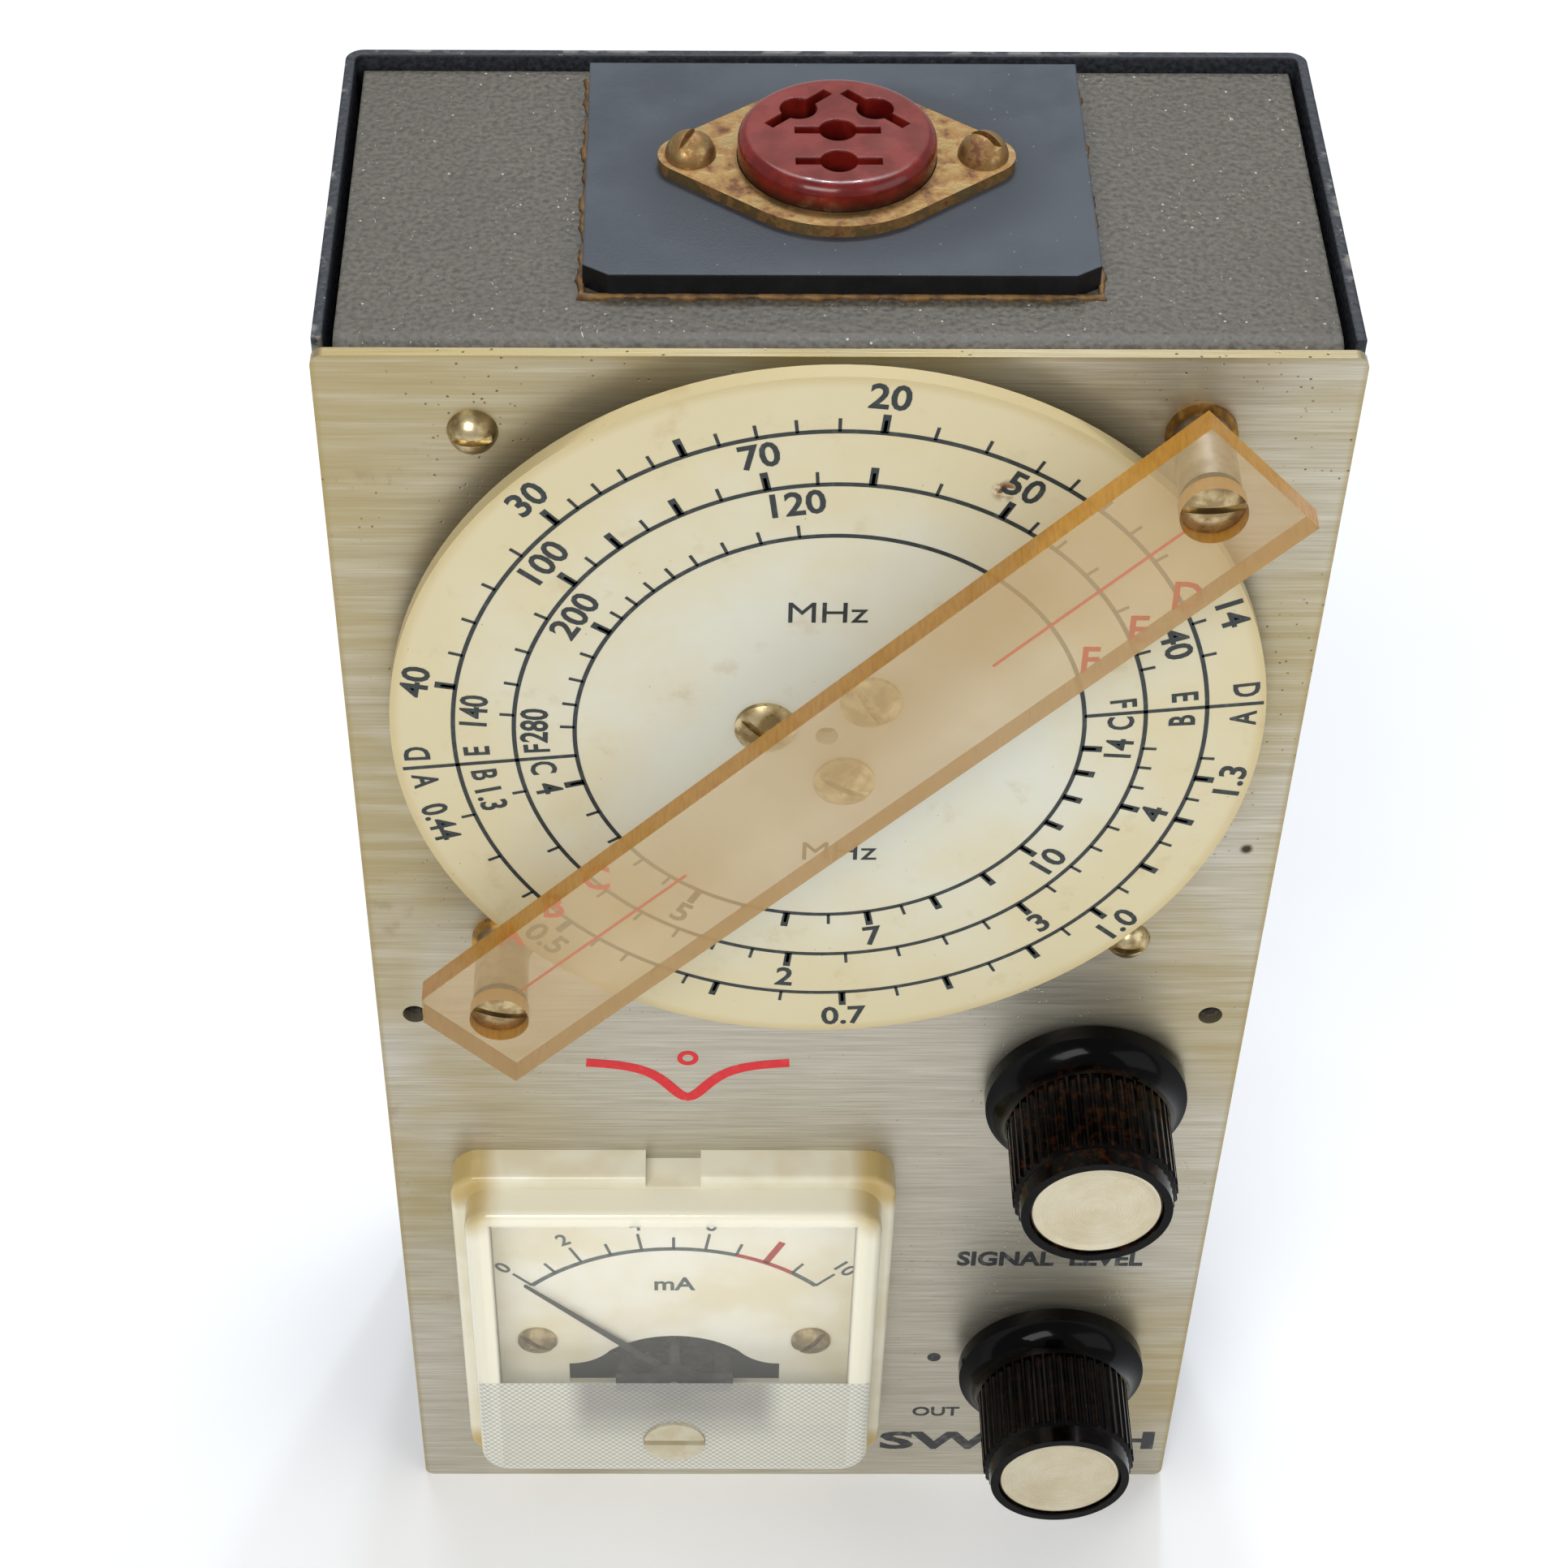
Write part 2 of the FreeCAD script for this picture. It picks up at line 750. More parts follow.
def make_cursor():
    corners = corner_spots([(-1, -1), (1, 1)])
    sub_part("post_washers", gathered([
        tube(size.washer_radius, thread_hole, size.washer_thick, on_panel(x, z)) for x, z in corners]))

    stud_end = plate_back - size.nut_thick - size.screw_overrun
    bore_depth = 5.0
    bore = size.small_thread_radius + size.thread_gap
    sub_part("cursor_posts", gathered([
        turned(on_panel(x, z),
               (0, stud_end),
               (size.thread_radius, stud_end),
               (size.thread_radius, size.washer_thick),
               (size.post_radius, size.washer_thick),
               (size.post_radius, cursor_under),
               (bore, cursor_under),
               (bore, cursor_under - bore_depth),
               (0, cursor_under - bore_depth))
        for x, z in corners]))

    bar = Body(spun(on_panel(0, size.dial_z), 45))
    end, side, chip = size.cursor_length / 2, size.cursor_width / 2, size.cursor_chip
    screw_reach = size.corner_screw_offset * math.sqrt(2)
    bar.pad([outline((-end, -side), (end, -side), (end, side), (-end + chip, side), (-end, side - chip))],
            cursor_under, size.cursor_thick)
    sink_radius = size.cursor_head_radius + 0.1
    for radius, depth in ((small_hole, size.cursor_thick), (sink_radius, size.cursor_sink)):
        bar.pocket([circle(screw_reach * u, 0, radius) for u in (-1, 1)], size.cursor_lift, depth)
    sub_part("cursor_bar", bar)

    seat = size.cursor_lift - size.cursor_sink
    slot_turns = (-12, 3)
    length, side = 4.0, 0.3
    sub_part("cursor_screws", gathered([
        slotted_screw(spun(on_panel(x, z, seat), turn), size.cursor_head_radius, size.cursor_head_height,
                      size.small_thread_radius, length, side)
        for (x, z), turn in zip(corners, slot_turns)]))


def dial_screw_spots():
    return [(size.dial_screw_ring * cosine(size.dial_screw_angle + turn),
             size.dial_screw_ring * sine(size.dial_screw_angle + turn)) for turn in (0, 120, 240)]


def make_dial():
    disc = Body(on_panel(0, size.dial_z))
    holes = [circle(x, z, small_hole) for x, z in dial_screw_spots()]
    disc.pad([circle(0, 0, size.dial_radius), circle(0, 0, size.dial_eye_radius)] + holes,
             dial_back, size.dial_thick)
    sub_part("dial_disc", disc)

    slot_turns = (-60, -35, -28)
    length, side = size.dial_thick + size.screw_overrun, 0.4
    sub_part("dial_screws", gathered([
        slotted_screw(spun(on_panel(x, size.dial_z + z, size.dial_lift), turn), size.dial_screw_radius,
                      size.dial_screw_height, size.small_thread_radius, length, side)
        for (x, z), turn in zip(dial_screw_spots(), slot_turns)]))

    hub = Body(on_panel(0, size.dial_z))
    bore = size.shaft_radius + size.shaft_gap
    neck_end = dial_back - size.hub_length
    flange_under = dial_back - size.hub_flange_thick
    neck, rim = size.hub_neck_radius, size.hub_radius
    hub.revolution((bore, neck_end), (neck, neck_end), (neck, flange_under), (rim, flange_under),
                   (rim, dial_back), (bore, dial_back))
    hub.pocket(holes, dial_back, size.hub_flange_thick)
    hub.pocket([circle(0, size.hub_screw_lift, small_hole)], neck, neck, "XZ_Plane")
    sub_part("dial_hub", hub)
    sub_part("hub_set_screw", cylinder(
        size.small_thread_radius, neck - bore - 0.1,
        standing(0, front_face - size.hub_screw_lift, size.dial_z - neck)))


# ------------------------------------------------------------ tuning capacitor

def half_disc(radius):
    """The lower half of a disc."""
    return outline((-radius, 0, radius), (0, -radius, radius), (radius, 0))


def pillar_spots():
    """The four pillars stand near the corners of the capacitor's front plate."""
    inset = 3.5
    return [((size.frame_half_width - inset) * side, z)
            for side in (-1, 1) for z in (size.frame_above - inset, -size.frame_below + inset)]


def make_capacitor_frame():
    plate = Body(on_panel(0, size.dial_z))
    holes = [circle(0, 0, size.hub_hole_radius)]
    offset = size.corner_screw_offset
    holes += [circle(offset * u, offset * v, thread_hole) for u, v in CORNERS]
    plate.pad([centred(size.mount_plate_size, size.mount_plate_size)] + holes, plate_back,
              size.mount_plate_thick)
    sub_part("capacitor_mount_plate", plate)
    sub_part("capacitor_pillars", gathered([
        cylinder(size.pillar_radius, size.pillar_length, on_panel(x, size.dial_z + z, frame_front))
        for x, z in pillar_spots()]))

    frame = Body(on_panel(0, size.dial_z))
    thick, floor = size.frame_thick, -size.frame_below
    frame.pad([outline(
        (size.frame_above, frame_front),
        (floor, frame_front),
        (floor, frame_back),
        (size.frame_above, frame_back),
        (size.frame_above, frame_back + thick),
        (floor + thick, frame_back + thick),
        (floor + thick, frame_front - thick),
        (size.frame_above, frame_front - thick),
    )], -size.frame_half_width, size.frame_half_width * 2, "YZ_Plane")
    rod_holes = [circle(size.stator_rod_x * side, -size.stator_rod_drop, size.insulator_ring_radius)
                 for side in (-1, 1)]
    frame.pocket([circle(0, 0, size.bearing_radius)], frame_front, thick)
    frame.pocket([circle(0, 0, size.tail_radius + size.shaft_gap)], frame_back + thick, thick)
    frame.pocket(rod_holes, frame_front, size.frame_depth)
    sub_part("capacitor_frame", frame)

    bearing_start = frame_front - thick - 1.0
    sub_part("capacitor_bearing", tube(
        size.bearing_radius, size.shaft_radius + size.shaft_gap, size.bearing_length,
        on_panel(0, size.dial_z, bearing_start)))
    ring_length = 2.4
    ring_bore = size.stator_rod_radius + 0.02
    rings = [on_panel(size.stator_rod_x * side, size.dial_z - size.stator_rod_drop, middle - ring_length / 2)
             for side in (-1, 1) for middle in (frame_front - thick / 2, frame_back + thick / 2)]
    sub_part("stator_insulators", gathered([
        tube(size.insulator_ring_radius, ring_bore, ring_length, spot) for spot in rings]))


def make_rotor():
    shaft_front = dial_back - 0.3
    shoulder = frame_back + size.frame_thick + 0.4
    tail = frame_back - 0.5
    sub_part("rotor_shaft", turned(
        on_panel(0, size.dial_z),
        (0, tail),
        (size.tail_radius, tail),
        (size.tail_radius, shoulder),
        (size.shaft_radius, shoulder),
        (size.shaft_radius, shaft_front),
        (0, shaft_front)))
    count = int(size.rotor_count.number)
    first, pitch, thick = size.rotor_first_lift, size.plate_pitch, size.plate_thick
    overhang = 0.8
    sleeve_end = first - pitch * (count - 1) - thick - overhang
    sleeve_start = first + overhang
    sleeve = cylinder(size.sleeve_radius, sleeve_start - sleeve_end, standing(0, 0, sleeve_end))
    plates = [prism([half_disc(size.rotor_radius)], thick, standing(0, 0, first - pitch * index - thick))
              for index in range(count)]
    bore = cylinder(size.shaft_radius + 0.02, sleeve_start - sleeve_end, standing(0, 0, sleeve_end))
    # The plates are fully in mesh when the dial is turned to the start of its range.
    turn = size.dial_turn - size.dial_start_angle
    sub_part("rotor_plates", cut(fused([sleeve] + plates), [bore], spun(on_panel(0, size.dial_z), turn)))


def make_stator():
    count = int(size.rotor_count.number) + 1
    pitch, thick, edge = size.plate_pitch, size.plate_thick, size.stator_edge
    radius = size.stator_radius
    notch = size.sleeve_radius + 1.2
    reach = root(radius * radius - edge * edge)
    notch_reach = root(notch * notch - edge * edge)
    plate = outline(
        (-reach, -edge, radius),
        (0, -radius, radius),
        (reach, -edge),
        (notch_reach, -edge, -notch),
        (0, -notch, -notch),
        (-notch_reach, -edge),
    )
    first = size.rotor_first_lift + pitch / 2
    plates = [prism([plate], thick, standing(0, 0, first - pitch * index - thick)) for index in range(count)]
    rod_start, rod_end = frame_front + 0.8, frame_back - 0.8
    rods = [cylinder(size.stator_rod_radius, rod_start - rod_end,
                     standing(size.stator_rod_x * side, -size.stator_rod_drop, rod_end))
            for side in (-1, 1)]
    sub_part("stator_plates", fused(plates + rods, on_panel(0, size.dial_z)))


# ------------------------------------------------------------ coil socket

def make_socket():
    board = Body(standing(size.insulator_x, size.socket_y, chassis_top))
    side, depth = size.insulator_width / 2, size.insulator_depth / 2
    chip_x, chip_y = size.insulator_chip_x, size.insulator_chip_y
    offset = size.socket_x - size.insulator_x
    holes = [circle(offset, 0, size.socket_shoulder + size.press_gap)]
    holes += [circle(offset + x, 0, thread_hole) for x in saddle_screw_spots()]
    edge = outline(
        (-side + chip_x, -depth),
        (side - chip_x, -depth),
        (side, -depth + chip_y),
        (side, depth),
        (-side, depth),
        (-side, -depth + chip_y),
    )
    board.pad([edge] + holes, 0, size.insulator_thick)
    sub_part("insulating_plate", board)

    body = Body(standing(size.socket_x, size.socket_y, 0))
    radius, shoulder, bottom = size.socket_radius, size.socket_shoulder, chassis_top - size.socket_below
    bend = size.socket_edge
    body.revolution(
        (0, bottom),
        (radius, bottom),
        (radius, chassis_top),
        (shoulder, chassis_top),
        (shoulder, insulator_top),
        (radius, insulator_top),
        (radius, socket_top - bend, bend),
        (radius - bend, socket_top),
        (0, socket_top),
    )
    guide_end = socket_top - size.pin_guide
    body.pocket([circle(x, y, size.pin_radius) for x, y, _ in pin_spots], socket_top, size.pin_guide)
    body.pocket([circle(x, y, size.contact_radius) for x, y, _ in pin_spots], guide_end, guide_end - bottom)
    body.pocket([turned_bar(x, y, size.wiper_length, size.wiper_width, turn) for x, y, turn in pin_spots],
                socket_top, size.wiper_depth)
    sub_part("socket_body", body)

    contact_end = bottom - size.contact_tail
    sub_part("socket_contacts", gathered([
        tube(size.contact_radius, size.pin_radius, guide_end - contact_end,
             standing(size.socket_x + x, size.socket_y + y, contact_end)) for x, y, _ in pin_spots]))


def make_saddle():
    """A diamond-shaped flange: the hull of a large disc and a small one round each screw."""
    saddle = Body(standing(size.socket_x, size.socket_y, insulator_top))
    wide, narrow, reach = size.saddle_half_width, size.saddle_end_radius, size.saddle_screw_x
    slope = (wide - narrow) / reach
    rise = root(1 - slope * slope)
    near = (wide * slope, wide * rise)
    far = (reach + narrow * slope, narrow * rise)
    saddle.pad([circle(0, 0, wide)], 0, size.saddle_thick)
    right = [(near[0], -near[1]), (far[0], -far[1]), far, near]
    left = [(-x, -y) for x, y in right]
    saddle.pad([outline(*right, *left)], 0, size.saddle_thick)
    saddle.pad([circle(x, 0, narrow) for x in saddle_screw_spots()], 0, size.saddle_thick)
    holes = [circle(0, 0, size.socket_radius + size.press_gap)]
    holes += [circle(x, 0, thread_hole) for x in saddle_screw_spots()]
    saddle.pocket(holes, size.saddle_thick, size.saddle_thick)
    sub_part("socket_saddle", saddle)
    length = size.saddle_thick + size.insulator_thick + size.sheet_thick + size.nut_thick + 1.5
    slot_turns = (65, -40)
    sub_part("saddle_screws", gathered([
        slotted_screw(spun(standing(size.socket_x + x, size.socket_y, saddle_top), turn),
                      size.saddle_head_radius, size.saddle_head_height, size.thread_radius, length)
        for x, turn in zip(saddle_screw_spots(), slot_turns)]))


def make_bus_wires():
    """Two bare wires from the socket's rear contacts down to the capacitor's stator rods."""
    start = chassis_top - size.socket_below - size.contact_tail
    end = size.dial_z - size.stator_rod_drop + size.stator_rod_radius
    upper_bend, lower_bend = start - 4, start - 9
    wires = []
    for side, (x, y, _) in zip((1, -1), pin_spots[2:]):
        wire = Body(HERE)
        start_x, plane_y = size.socket_x + x, size.socket_y + y
        end_x = size.stator_rod_x * side
        corners = [(start_x, start), (start_x, upper_bend), (end_x, lower_bend), (end_x, end)]
        route = wire.sketch([outline(*corners, closed=False)], -plane_y, "XZ_Plane")
        pipe = wire.body.newObject("PartDesign::AdditivePipe", "pipe")
        pipe.Profile = wire.sketch([circle(start_x, plane_y, size.wire_radius)], start, "XY_Plane")
        pipe.Spine = (route, [])
        pipe.Transition = "Round corner"
        wires.append(wire.body)
    sub_part("bus_wires", gathered(wires))


# ------------------------------------------------------------ meter

def on_meter(x=0, z=0, lift=0):
    return on_panel(size.meter_x + x, size.meter_z + z, lift)


def at_pivot(lift=0):
    return on_meter(0, -size.pivot_drop, lift)


def make_meter_cover():
    cover = Body(on_meter())
    flange, top, wall = size.meter_flange, size.meter_lift, size.meter_wall
    cover.pad([centred(size.meter_width, size.meter_height)], 0, flange)
    cover.pad([centred(size.window_width, size.window_height)], flange, top - flange)
    cover.rounded(size.meter_corner, lambda edge: runs_along(edge, Z_AXIS))
    cover.rounded(size.meter_edge, lambda edge: lies_at(edge, top))
    outer_x, outer_y = size.window_width.number / 2 + 0.2, size.window_height.number / 2 + 0.2
    cover.rounded(size.meter_edge * 0.6, lambda edge: lies_at(edge, flange) and (
        abs(edge.CenterOfMass.x) > outer_x or abs(edge.CenterOfMass.y) > outer_y))
    notch_half, notch_depth = 2.65, 1.2
    notch_low = size.meter_height / 2 - notch_depth
    cover.pocket([rectangle(-notch_half, notch_low, notch_half, notch_low + 2)], flange, flange)
    cavity = centred(size.window_width - wall * 2, size.window_height - wall * 2)
    cover.pocket([cavity], top - wall, top - wall)
    cavity_x = size.window_width.number / 2 - wall.number
    cover.rounded(size.meter_corner - wall, lambda edge: runs_along(edge, Z_AXIS) and
                  abs(abs(edge.CenterOfMass.x) - cavity_x) < 0.01)
    cover.pocket([circle(0, -size.adjuster_drop, size.adjuster_radius + size.press_gap)], top, wall)
    sub_part("meter_cover", cover)


def make_meter_base():
    base = Body(on_meter())
    gap, plate = 0.3, 1.2
    width = size.window_width - size.meter_wall * 2 - gap * 2
    height = size.window_height - size.meter_wall * 2 - gap * 2
    inner = size.barrel_radius - size.barrel_wall
    floor = -size.barrel_depth + size.barrel_wall
    base.pad([centred(width, height)], 0, plate)
    base.rounded(size.meter_corner - size.meter_wall, lambda edge: runs_along(edge, Z_AXIS))
    base.pad([circle(0, 0, size.barrel_radius)], -size.barrel_depth, size.barrel_depth)
    base.pocket([circle(0, 0, inner)], plate, plate - floor)
    screw_spots = [(size.scale_screw_x * side, -size.scale_screw_drop) for side in (-1, 1)]
    scale_back = size.scale_lift - size.scale_thick
    base.pad([circle(x, z, 2) for x, z in screw_spots], floor, scale_back - floor)
    base.pocket([circle(x, z, small_hole) for x, z in screw_spots], scale_back, 6)
    boss = 0.9
    bearing_radius, staff_hole = 1.6, size.staff_radius + size.shaft_gap
    base.pad([circle(0, -size.pivot_drop, radius) for radius in (bearing_radius, staff_hole)], floor, boss)
    sub_part("meter_base", base)

    head_height, length, side, slot_turns = 0.9, 4.0, 0.3, (-35, 50)
    sub_part("scale_screws", gathered([
        slotted_screw(spun(on_meter(x, z, size.scale_lift), turn), size.screw_head_radius, head_height,
                      size.small_thread_radius, length, side)
        for (x, z), turn in zip(screw_spots, slot_turns)]))
    stud_length = 8.5
    sub_part("meter_studs", gathered([
        cylinder(size.thread_radius, stud_length, on_meter(size.stud_x * u, size.stud_z * v, -stud_length))
        for u, v in CORNERS]))
    offset, rise, disc_radius, disc_thick, stem_radius, stem_length = 6, 5, 3, 0.8, 1.5, 4
    stem = [(0, 0), (disc_radius, 0), (disc_radius, disc_thick), (stem_radius, disc_thick),
            (stem_radius, stem_length), (0, stem_length)]
    sub_part("meter_terminals", gathered([
        turned(behind(size.meter_x + offset * side, size.meter_z + rise, -size.barrel_depth), *stem)
        for side in (-1, 1)]))


def make_meter_scale():
    half, low, high = 17.8, -18.4, 18.9
    wing, dome, shoulder = 10.8, 6.6, -5
    opening_low, wing_high, dome_low, dome_high = -10.8, -7.6, -5.4, -2.9
    dome_radius = arc_radius(Size(dome), Size(dome_high - dome_low))
    opening = outline(
        (-wing, opening_low),
        (wing, opening_low),
        (wing, wing_high, shoulder),
        (dome, dome_low, dome_radius),
        (0, dome_high, dome_radius),
        (-dome, dome_low, shoulder),
        (-wing, wing_high),
    )
    holes = [circle(size.scale_screw_x * side, -size.scale_screw_drop, small_hole) for side in (-1, 1)]
    scale = prism([rectangle(-half, low, half, high), opening] + holes, size.scale_thick,
                  on_meter(0, 0, size.scale_lift - size.scale_thick))
    sub_part("meter_scale", scale)


def make_meter_movement():
    front, depth = size.magnet_front, size.magnet_depth
    ring = tube(size.yoke_radius, size.gap_radius, depth, standing(0, 0, front - depth))
    core = cylinder(size.core_radius, depth, standing(0, 0, front - depth))
    straps = [prism([rectangle(-1, low, 1, low + 3)], depth, standing(0, 0, front - depth))
              for low in (-7, 4)]
    sub_part("meter_magnet", fused([ring, core] + straps, at_pivot()))

    leg_x, leg_radius, post_x, post_radius = 7.35, 0.8, 5.0, 0.9
    plate_low, plate_high, bar_low, bar_high = -1.3, -0.7, 4.3, 4.9
    plate_outline, plate_hole = centred(Size(16.2), Size(4.0)), circle(0, 0, 1.5)
    plate = prism([plate_outline, plate_hole], plate_high - plate_low, standing(0, 0, plate_low))
    legs = [cylinder(leg_radius, plate_low - front, standing(leg_x * side, 0, front)) for side in (-1, 1)]
    posts = [cylinder(post_radius, bar_low - plate_high, standing(post_x * side, 0, plate_high))
             for side in (-1, 1)]
    bar_spot, bar_thick, boss_radius = standing(0, 0, bar_low), bar_high - bar_low, 2.7
    bar = fused([prism([centred(Size(12), Size(2.4))], bar_thick, bar_spot),
                 cylinder(boss_radius, bar_thick, bar_spot)])
    jewel = cylinder(size.staff_radius + size.shaft_gap, bar_thick, bar_spot)
    sub_part("meter_bridge", fused([plate] + legs + posts + [cut(bar, [jewel])], at_pivot()))

    # At rest the coil stands half the needle's sweep away from the middle of the scale.
    coil = Body(spun(at_pivot(), size.needle_angle - QUARTER_TURN))
    overhang, thick = size.coil_overhang, size.coil_bar
    inner_front, inner_back = front + overhang, front - depth - overhang
    loop = rectangle(-size.coil_outer, inner_back - thick, size.coil_outer, inner_front + thick)
    window = rectangle(-size.coil_inner, inner_back, size.coil_inner, inner_front)
    coil.pad([loop, window], -thick / 2, thick, "XZ_Plane")
    staff_front, staff_back, bite = 4.7, -15.5, 0.3
    coil.pad([circle(0, 0, size.staff_radius)], inner_front + bite, staff_front - inner_front - bite)
    coil.pad([circle(0, 0, size.staff_radius)], staff_back, inner_back - bite - staff_back)
    sub_part("meter_coil", coil)

    arm_thick, hub_radius, hub_height = 0.25, 1.4, 0.7
    tail, waist, tip = 4.0, 0.45, 0.12
    reach = size.needle_reach
    taper = outline((-tail, -waist), (0, -waist), (reach, -tip), (reach, tip), (0, waist), (-tail, waist))
    arm = prism([taper], arm_thick, HERE)
    hub = cylinder(hub_radius, hub_height, standing(0, 0, -0.2))
    staff_hole = cylinder(size.staff_radius + 0.01, 2, standing(0, 0, -1))
    sub_part("needle", cut(fused([arm, hub]), [staff_hole],
                           spun(at_pivot(size.needle_lift), size.needle_angle)))


def make_zero_adjuster():
    inner_face = size.meter_lift - size.meter_wall
    flange, play, proud = 0.7, 0.1, 0.3
    low, top = inner_face - play - flange, size.meter_lift + proud
    radius = size.adjuster_radius
    brim = radius + 0.45
    button = turned(HERE, (0, low), (brim, low), (brim, low + flange), (radius, low + flange), (radius, top),
                    (0, top))
    pin_radius, pin_length, pin_offset, overlap = 0.5, 0.8, 2.0, 0.2
    pin = cylinder(pin_radius, pin_length + overlap, standing(0, pin_offset, low - pin_length))
    slot_width = slot_depth = Size(0.8)
    slot = prism([centred(radius * 2.2, slot_width)], slot_depth, standing(0, 0, top - slot_depth))
    sub_part("zero_adjuster", cut(fused([button, pin]), [slot], on_meter(0, -size.adjuster_drop)))


# ------------------------------------------------------------ knobs and controls

def make_knob(name, z, gap):
    knob = Body(on_panel(size.knob_x, z, gap))
    flare_width, flare_height = size.skirt_radius - size.grip_radius, size.grip_start - size.skirt_edge
    bore = size.shaft_radius + 0.02
    cap_seat = size.knob_height - size.cap_sink - size.cap_thick
    cap_bore = size.cap_radius + size.press_gap
    step = 0.3
    knob.revolution(
        (size.knob_hollow_radius, 0),
        (size.skirt_radius, 0),
        (size.skirt_radius, size.skirt_edge, -arc_radius(flare_height, flare_width)),
        (size.grip_radius, size.grip_start),
        (size.grip_radius, size.grip_end),
        (size.collar_radius, size.grip_end + step),
        (size.collar_top_radius, size.knob_height),
        (cap_bore, size.knob_height),
        (cap_bore, cap_seat),
        (0, cap_seat),
        (0, size.knob_bore_depth),
        (bore, size.knob_bore_depth),
        (bore, size.knob_hollow_depth),
        (size.knob_hollow_radius, size.knob_hollow_depth),
    )
    screw_height = 8.0
    knob.pocket([circle(0, screw_height, small_hole)], size.skirt_radius, size.skirt_radius, "XZ_Plane")
    flute = knob.pocket([circle(size.grip_radius + size.flute_radius / 3, 0, size.flute_radius)],
                        size.grip_end + step, size.grip_end + step - size.grip_start)
    knob.ring_of(flute, size.flute_count)
    sub_part(f"{name}_knob", knob)
    sub_part(f"{name}_cap", cylinder(size.cap_radius, size.cap_thick,
                                     on_panel(size.knob_x, z, gap + cap_seat)))
    grub_length = 3.5
    sub_part(f"{name}_set_screw", cylinder(
        size.small_thread_radius, grub_length,
        standing(size.knob_x, front_face - gap - screw_height, z - size.shaft_radius - grub_length - 0.1)))


def make_potentiometer():
    bore = size.shaft_radius + size.shaft_gap
    case_back = flange_back - size.pot_depth
    bore_end = case_back + 1.5
    lift = size.bush_lift
    sub_part("potentiometer_case", turned(
        on_panel(size.knob_x, size.sensitivity_z),
        (0, case_back),
        (size.pot_radius, case_back),
        (size.pot_radius, flange_back),
        (size.bush_radius, flange_back),
        (size.bush_radius, lift),
        (bore, lift),
        (bore, bore_end),
        (0, bore_end)))
    end_gap = 0.3
    shaft_end = size.sensitivity_gap + size.knob_bore_depth - end_gap
    shaft_start = bore_end + end_gap
    sub_part("potentiometer_shaft", cylinder(size.shaft_radius, shaft_end - shaft_start,
                                             on_panel(size.knob_x, size.sensitivity_z, shaft_start)))


def make_switch():
    bore = size.shaft_radius + size.shaft_gap
    case_back = flange_back - size.switch_depth
    spot = on_panel(size.knob_x, size.mode_z)
    wafer_front = case_back - size.wafer_drop
    wafer_thick, post_x, post_radius = 1.4, 8.0, 1.2
    housing = turned(
        HERE,
        (bore, case_back),
        (size.switch_radius, case_back),
        (size.switch_radius, flange_back),
        (size.bush_radius, flange_back),
        (size.bush_radius, size.bush_lift),
        (bore, size.bush_lift))
    posts = [cylinder(post_radius, size.wafer_drop, standing(post_x * side, 0, wafer_front))
             for side in (-1, 1)]
    sub_part("switch_body", fused([housing] + posts, spot))
    tail_radius = 2.0
    tail = wafer_front - wafer_thick - 1.5
    shaft_end = size.mode_gap + size.knob_bore_depth - 0.3
    sub_part("switch_shaft", turned(
        spot,
        (0, tail),
        (tail_radius, tail),
        (tail_radius, case_back),
        (size.shaft_radius, case_back),
        (size.shaft_radius, shaft_end),
        (0, shaft_end)))
    wafer_back = wafer_front - wafer_thick
    disc = prism([circle(0, 0, size.switch_radius - 0.5), circle(0, 0, tail_radius + size.shaft_gap)],
                 wafer_thick, standing(0, 0, wafer_back))
    lug_count, lug_thick, lug_length, lug_width = 10, 0.5, Size(3.0), Size(1.2)
    ring = size.switch_radius - 1.5
    lugs = []
    for index in range(lug_count):
        turn = 360 / lug_count * index
        lug = turned_bar(ring * cosine(turn), ring * sine(turn), lug_length, lug_width, turn)
        lugs.append(prism([lug], lug_thick, standing(0, 0, wafer_back - lug_thick)))
    sub_part("switch_wafer", fused([disc] + lugs, spot))


# ------------------------------------------------------------ circuit board and battery

def board_screw_spots():
    return [(size.standoff_x * u, size.standoff_z * v) for u, v in CORNERS]


def make_board():
    board = Body(on_panel(size.board_x, size.board_z))
    holes = [circle(x, z, small_hole) for x, z in board_screw_spots()]
    board.pad([centred(size.board_width, size.board_height)] + holes, size.board_lift - size.board_thick,
              size.board_thick)
    sub_part("circuit_board", board)
    bore = size.small_thread_radius + size.thread_gap
    bore_end = size.board_lift + 4
    sub_part("board_standoffs", gathered([
        turned(on_panel(size.board_x + x, size.board_z + z),
               (bore, size.board_lift),
               (size.standoff_radius, size.board_lift),
               (size.standoff_radius, flange_back),
               (0, flange_back),
               (0, bore_end),
               (bore, bore_end))
        for x, z in board_screw_spots()]))
    screw_length, head_height = size.board_thick + 3, 1.4
    board_back = size.board_lift - size.board_thick
    sub_part("board_screws", gathered([
        slotted_screw(behind(size.board_x + x, size.board_z + z, board_back), size.screw_head_radius,
                      head_height, size.small_thread_radius, screw_length)
        for x, z in board_screw_spots()]))
    make_transistors(board_back)
    make_resistors(board_back)


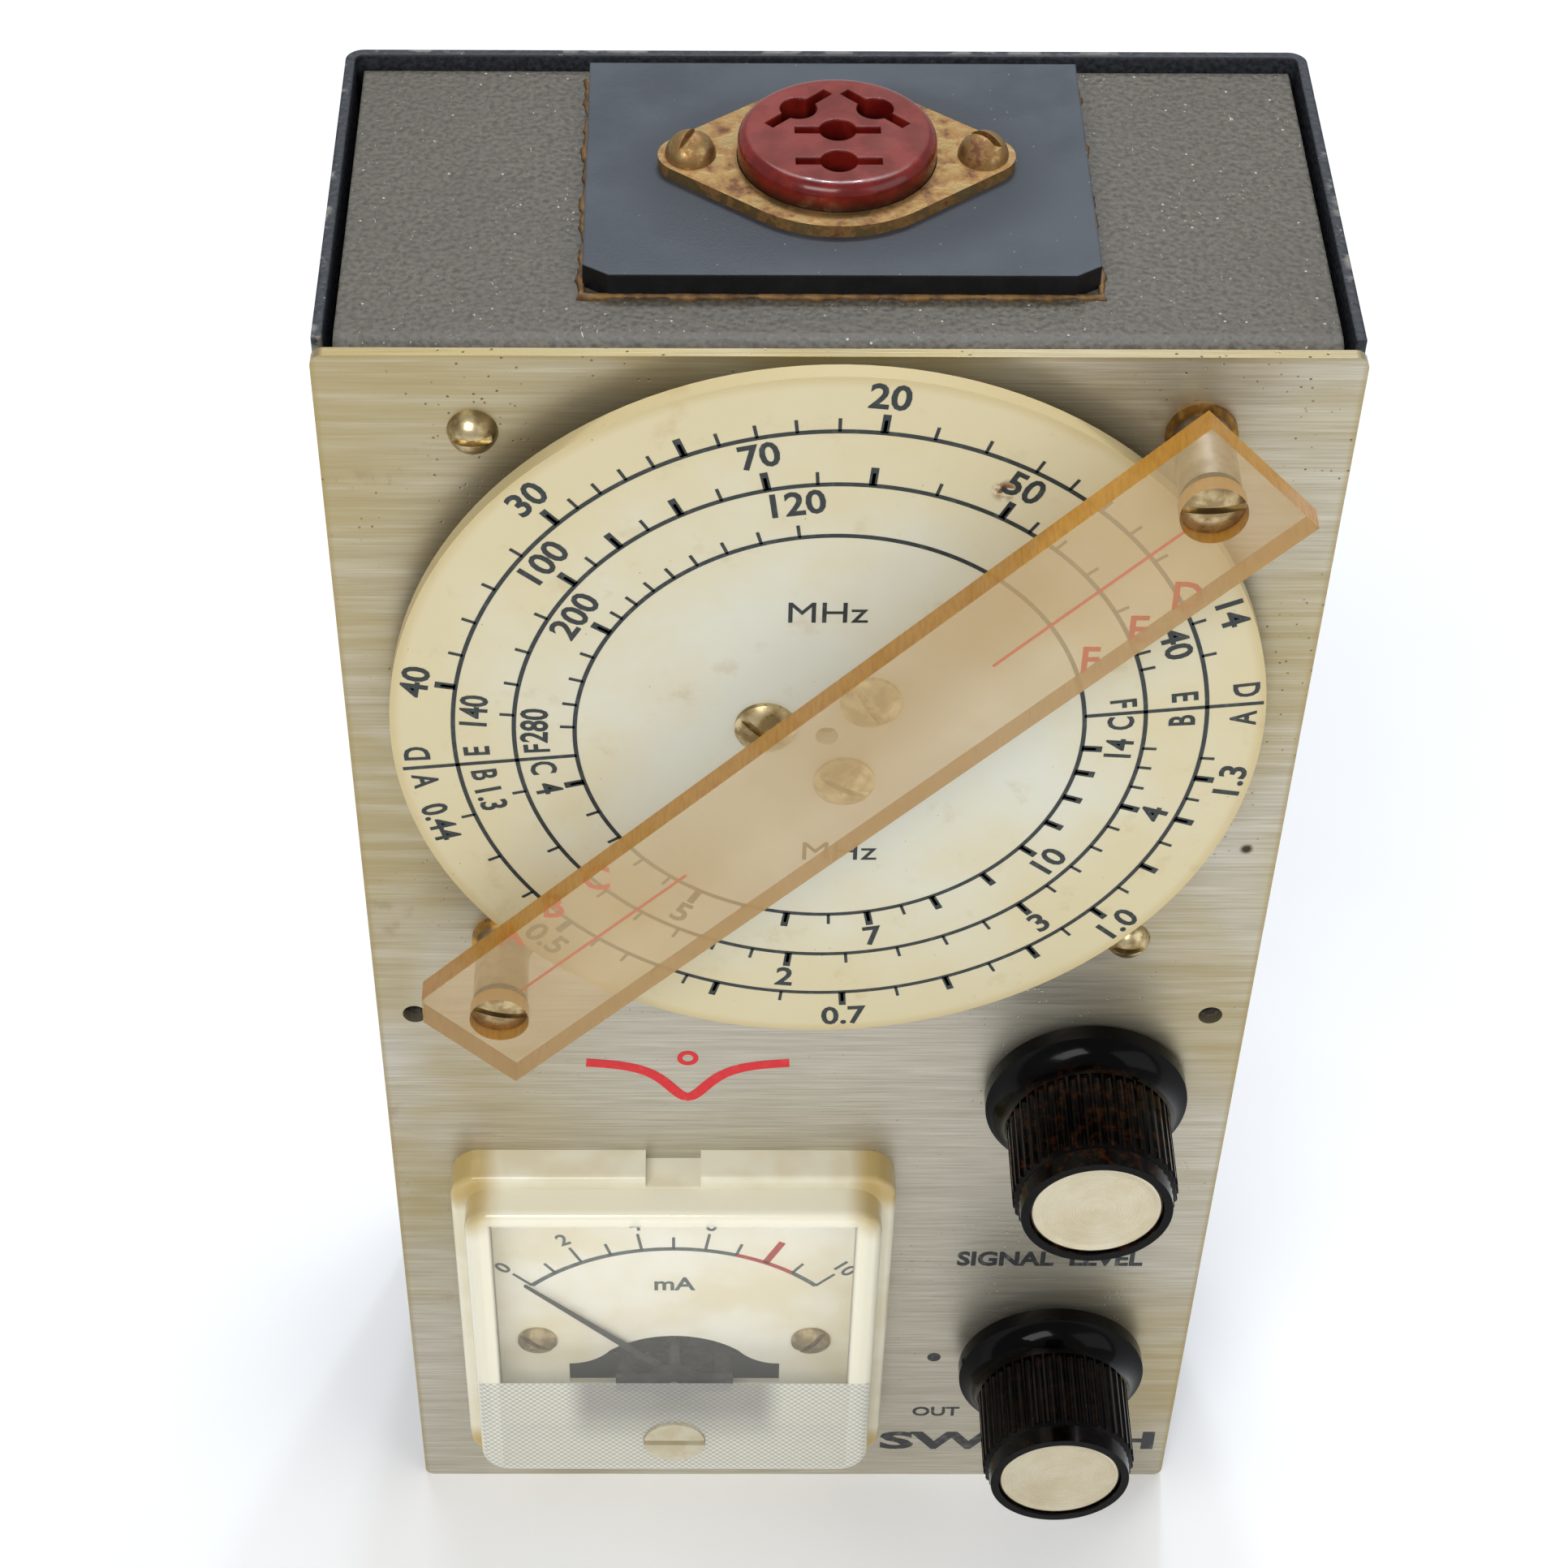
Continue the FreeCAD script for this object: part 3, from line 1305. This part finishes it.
def make_transistors(board_back):
    can_radius, brim_radius, can_top, brim_top = 2.6, 3.1, 6.7, 2.1
    leg_length, leg_radius, leg_ring = 1.5, 0.25, 1.3
    row_rise, columns = 4, (-14, -4, 7)
    cans = []
    for x in columns:
        can = turned(HERE, (0, leg_length), (brim_radius, leg_length), (brim_radius, brim_top),
                     (can_radius, brim_top), (can_radius, can_top), (0, can_top))
        legs = [cylinder(leg_radius, leg_length, standing(leg_ring * cosine(turn), leg_ring * sine(turn), 0))
                for turn in (0, 90, 180)]
        cans.append(fused([can] + legs, behind(size.board_x + x, size.board_z + row_rise, board_back)))
    sub_part("transistors", gathered(cans))


def make_resistors(board_back):

    body_radius, body_half, lead_radius, lead_half = 1.1, 3.2, 0.3, 4.6
    columns, rows = (-13, -1, 11), (-9, -5)
    resistors = []
    for x, z in [(x, z) for x in columns for z in rows]:
        body = turned((-body_half, 0, body_radius, LYING_ALONG_X),
                      (0, 0), (body_radius, 0), (body_radius, body_half * 2), (0, body_half * 2))
        lead = cylinder(lead_radius, lead_half * 2, (-lead_half, 0, body_radius, LYING_ALONG_X))
        legs = [cylinder(lead_radius, body_radius, standing(end, 0, 0)) for end in (-lead_half, lead_half)]
        resistors.append(fused([body, lead] + legs, behind(size.board_x + x, size.board_z + z, board_back)))
    sub_part("resistors", gathered(resistors))


def make_battery():
    bracket_top = size.sheet_thick + size.bracket_thick
    battery_spot = standing(size.battery_x, size.battery_y, bracket_top)
    half_x, half_y, corner = size.battery_width / 2, size.battery_thick / 2, size.battery_corner
    case = Body(battery_spot)
    case.pad([rectangle(-half_x, -half_y, half_x, half_y)], 0, size.battery_height)
    case.rounded(corner, lambda edge: runs_along(edge, Z_AXIS))
    case.pad([circle(size.terminal_offset * side, 0, size.terminal_radius) for side in (-1, 1)],
             size.battery_height, size.terminal_height)
    sub_part("battery", case)

    clip = Body(standing(size.battery_x, size.battery_y, bracket_top + size.battery_height))
    gap, clip_depth = 0.1, Size(11)
    sink = size.terminal_height + gap * 2
    clip.pad([centred(size.battery_width - 1, clip_depth)], gap, size.clip_height)
    clip.pocket([circle(size.terminal_offset * side, 0, size.terminal_radius + gap) for side in (-1, 1)],
                sink, sink)
    sub_part("battery_clip", clip)

    thick, rise = size.bracket_thick, size.bracket_height
    inner = half_x + size.press_gap
    outer = inner + thick
    bracket = Body(standing(size.battery_x, size.battery_y, size.sheet_thick))
    section = outline((-outer, 0), (outer, 0), (outer, rise), (inner, rise), (inner, thick), (-inner, thick),
                      (-inner, rise), (-outer, rise))
    bracket.pad([section], -size.bracket_width / 2, size.bracket_width, "XZ_Plane")
    sub_part("battery_bracket", bracket)


# ------------------------------------------------------------ the whole object

def build():
    make_front_panel()
    make_chassis()
    make_rear_cover()
    make_case_screws()
    make_nuts()
    make_cursor()
    make_dial()
    make_capacitor_frame()
    make_rotor()
    make_stator()
    make_socket()
    make_saddle()
    make_bus_wires()
    make_meter_cover()
    make_meter_base()
    make_meter_scale()
    make_meter_movement()
    make_zero_adjuster()
    make_knob("sensitivity", size.sensitivity_z, size.sensitivity_gap)
    make_knob("mode", size.mode_z, size.mode_gap)
    make_potentiometer()
    make_switch()
    make_board()
    make_battery()
    doc.recompute()


def check():
    failed = [thing.Label for thing in doc.Objects if {"Invalid", "Error"} & set(thing.State)]
    for label, solid in sub_parts.items():
        if solid.Shape.isNull() or not solid.Shape.isValid() or not solid.Shape.Solids:
            failed.append(label)
    if failed:
        raise RuntimeError("not built: " + ", ".join(failed))


def export():
    os.makedirs("parts", exist_ok=True)
    for label, solid in sub_parts.items():
        solid.Shape.exportStep(f"parts/{label}.step")
    print(len(sub_parts), "sub-parts written")


build()
check()
export()
